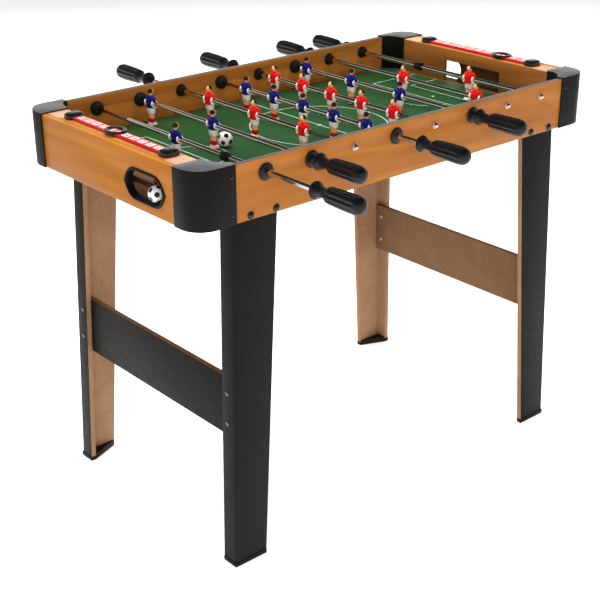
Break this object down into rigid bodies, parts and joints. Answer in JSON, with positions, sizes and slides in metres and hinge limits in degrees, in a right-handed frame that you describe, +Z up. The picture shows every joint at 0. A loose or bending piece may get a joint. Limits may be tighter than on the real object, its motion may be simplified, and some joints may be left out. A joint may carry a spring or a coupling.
{
  "type": "foosball table",
  "caption": "Free-standing foosball table: wood-grain cabinet with green pitch, telescopic rods of red and blue figures, folded black legs with end braces, and sliding score counters.",
  "frame": {"origin": "bottom centre of the bounding box of the whole table, rod handles included; z = 0 is the floor", "axes": "+X along the pitch from the blue keeper's end to the red keeper's end, +Y along the rods towards the back, +Z up"},
  "size_m": [0.8162, 0.7954, 0.6388],
  "materials": {
    "wood_panel": "satin printed wood grain",
    "goal_board": "satin printed wood grain",
    "field": "printed pitch with white lines, light sheen",
    "leg_board": "black leather-grain film over fibreboard",
    "black_plastic": "satin moulded plastic",
    "score_bar": "glossy moulded plastic",
    "rod_and_players": "polished tube with painted plastic figures",
    "grip": "semi-gloss moulded plastic",
    "bushing": "semi-gloss moulded plastic",
    "steel_rod": "polished steel",
    "ball": "gloss white with black spots"
  },
  "bodies": {
    "table": {"side_panel_front": "wood_panel", "side_panel_back": "wood_panel", "playfield": "field", "end_panel_left": "wood_panel", "goal_wall_left": "goal_board", "ball_port_left": "black_plastic", "score_rail_left": "score_bar", "leg_brace_left": "leg_board", "end_panel_right": "wood_panel", "goal_wall_right": "goal_board", "ball_port_right": "black_plastic", "score_rail_right": "score_bar", "leg_brace_right": "leg_board", "corner_cap_front_left": "black_plastic", "leg_front_left": "leg_board", "foot_front_left": "black_plastic", "corner_cap_front_right": "black_plastic", "leg_front_right": "leg_board", "foot_front_right": "black_plastic", "corner_cap_back_left": "black_plastic", "leg_back_left": "leg_board", "foot_back_left": "black_plastic", "corner_cap_back_right": "black_plastic", "leg_back_right": "leg_board", "foot_back_right": "black_plastic", "rod_1_bushing": "bushing", "rod_2_bushing": "bushing", "rod_3_bushing": "bushing", "rod_4_bushing": "bushing", "rod_5_bushing": "bushing", "rod_6_bushing": "bushing", "rod_7_bushing": "bushing", "rod_8_bushing": "bushing"},
    "rod_1_core": {"rod_1_inner": "steel_rod"},
    "rod_1": {"rod_1_tube": "rod_and_players", "rod_1_handle": "grip"},
    "rod_2_core": {"rod_2_inner": "steel_rod"},
    "rod_2": {"rod_2_tube": "rod_and_players", "rod_2_handle": "grip"},
    "rod_3_core": {"rod_3_inner": "steel_rod"},
    "rod_3": {"rod_3_tube": "rod_and_players", "rod_3_handle": "grip"},
    "rod_4_core": {"rod_4_inner": "steel_rod"},
    "rod_4": {"rod_4_tube": "rod_and_players", "rod_4_handle": "grip"},
    "rod_5_core": {"rod_5_inner": "steel_rod"},
    "rod_5": {"rod_5_tube": "rod_and_players", "rod_5_handle": "grip"},
    "rod_6_core": {"rod_6_inner": "steel_rod"},
    "rod_6": {"rod_6_tube": "rod_and_players", "rod_6_handle": "grip"},
    "rod_7_core": {"rod_7_inner": "steel_rod"},
    "rod_7": {"rod_7_tube": "rod_and_players", "rod_7_handle": "grip"},
    "rod_8_core": {"rod_8_inner": "steel_rod"},
    "rod_8": {"rod_8_tube": "rod_and_players", "rod_8_handle": "grip"},
    "score_pointer_left": {"score_pointer_left": "black_plastic"},
    "score_pointer_right": {"score_pointer_right": "black_plastic"},
    "ball": {"ball": "ball"}
  },
  "joints": [
    {"name": "rod_1_spin", "type": "hinge", "parent": "table", "child": "rod_1_core", "pos_m": [-0.2877, 0, 0.6105], "axis": [0, 1, 0], "continuous": true},
    {"name": "rod_1_slide", "type": "slide", "parent": "rod_1_core", "child": "rod_1", "axis": [0, 1, 0], "range_m": [-0.058, 0.076]},
    {"name": "rod_2_spin", "type": "hinge", "parent": "table", "child": "rod_2_core", "pos_m": [-0.2055, 0, 0.6105], "axis": [0, 1, 0], "continuous": true},
    {"name": "rod_2_slide", "type": "slide", "parent": "rod_2_core", "child": "rod_2", "axis": [0, 1, 0], "range_m": [-0.188, 0.004]},
    {"name": "rod_3_spin", "type": "hinge", "parent": "table", "child": "rod_3_core", "pos_m": [-0.1233, 0, 0.6105], "axis": [0, 1, 0], "continuous": true},
    {"name": "rod_3_slide", "type": "slide", "parent": "rod_3_core", "child": "rod_3", "axis": [0, 1, 0], "range_m": [-0.075, 0.051]},
    {"name": "rod_4_spin", "type": "hinge", "parent": "table", "child": "rod_4_core", "pos_m": [-0.0411, 0, 0.6105], "axis": [0, 1, 0], "continuous": true},
    {"name": "rod_4_slide", "type": "slide", "parent": "rod_4_core", "child": "rod_4", "axis": [0, 1, 0], "range_m": [-0.026, 0.042]},
    {"name": "rod_5_spin", "type": "hinge", "parent": "table", "child": "rod_5_core", "pos_m": [0.0411, 0, 0.6105], "axis": [0, 1, 0], "continuous": true},
    {"name": "rod_5_slide", "type": "slide", "parent": "rod_5_core", "child": "rod_5", "axis": [0, 1, 0], "range_m": [-0.051, 0.017]},
    {"name": "rod_6_spin", "type": "hinge", "parent": "table", "child": "rod_6_core", "pos_m": [0.1233, 0, 0.6105], "axis": [0, 1, 0], "continuous": true},
    {"name": "rod_6_slide", "type": "slide", "parent": "rod_6_core", "child": "rod_6", "axis": [0, 1, 0], "range_m": [-0.12, 0.006]},
    {"name": "rod_7_spin", "type": "hinge", "parent": "table", "child": "rod_7_core", "pos_m": [0.2055, 0, 0.6105], "axis": [0, 1, 0], "continuous": true},
    {"name": "rod_7_slide", "type": "slide", "parent": "rod_7_core", "child": "rod_7", "axis": [0, 1, 0], "range_m": [-0.029, 0.163]},
    {"name": "rod_8_spin", "type": "hinge", "parent": "table", "child": "rod_8_core", "pos_m": [0.2877, 0, 0.6105], "axis": [0, 1, 0], "continuous": true},
    {"name": "rod_8_slide", "type": "slide", "parent": "rod_8_core", "child": "rod_8", "axis": [0, 1, 0], "range_m": [-0.006, 0.128]},
    {"name": "score_left_slide", "type": "slide", "parent": "table", "child": "score_pointer_left", "axis": [0, 1, 0], "range_m": [-0.097, 0.079]},
    {"name": "score_right_slide", "type": "slide", "parent": "table", "child": "score_pointer_right", "axis": [0, 1, 0], "range_m": [-0.035, 0.141]},
    {"name": "ball_roll", "type": "slide", "parent": "table", "child": "ball", "axis": [0, 1, 0], "range_m": [0, 0.04]}
  ]
}
